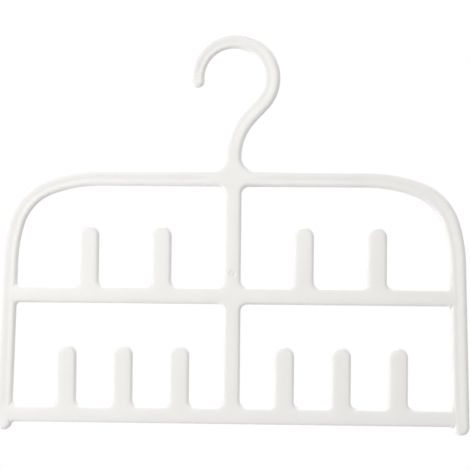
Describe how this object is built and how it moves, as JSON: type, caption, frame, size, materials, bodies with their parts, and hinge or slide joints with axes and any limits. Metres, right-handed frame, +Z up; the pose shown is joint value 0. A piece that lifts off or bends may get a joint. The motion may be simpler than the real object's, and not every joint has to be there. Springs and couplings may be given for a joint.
{
  "type": "scarf hanger",
  "caption": "One-piece moulded hanger: an open rail hook, an arched frame and two crossbars whose upright pegs keep scarves apart.",
  "frame": {"origin": "the rail's seat: the highest point of the hook's opening, in the mid-plane of the hanger's depth", "axes": "+X to the right seen from the front, +Y to the back along the rail, +Z up; the hook opens towards -X and the gate mark is on the front, -Y"},
  "size_m": [0.333, 0.009, 0.2807],
  "materials": {
    "moulding": "satin white injection-moulded polypropylene"
  },
  "bodies": {
    "root": {"hook": "moulding", "neck": "moulding", "top_beam": "moulding", "left_shoulder": "moulding", "right_shoulder": "moulding", "left_leg": "moulding", "right_leg": "moulding", "centre_post": "moulding", "upper_bar_left": "moulding", "upper_bar_right": "moulding", "lower_bar_left": "moulding", "lower_bar_right": "moulding", "upper_peg_1": "moulding", "upper_peg_2": "moulding", "upper_peg_3": "moulding", "upper_peg_4": "moulding", "lower_peg_1": "moulding", "lower_peg_2": "moulding", "lower_peg_3": "moulding", "lower_peg_4": "moulding", "lower_peg_5": "moulding", "lower_peg_6": "moulding", "gate_mark": "moulding"}
  },
  "joints": []
}
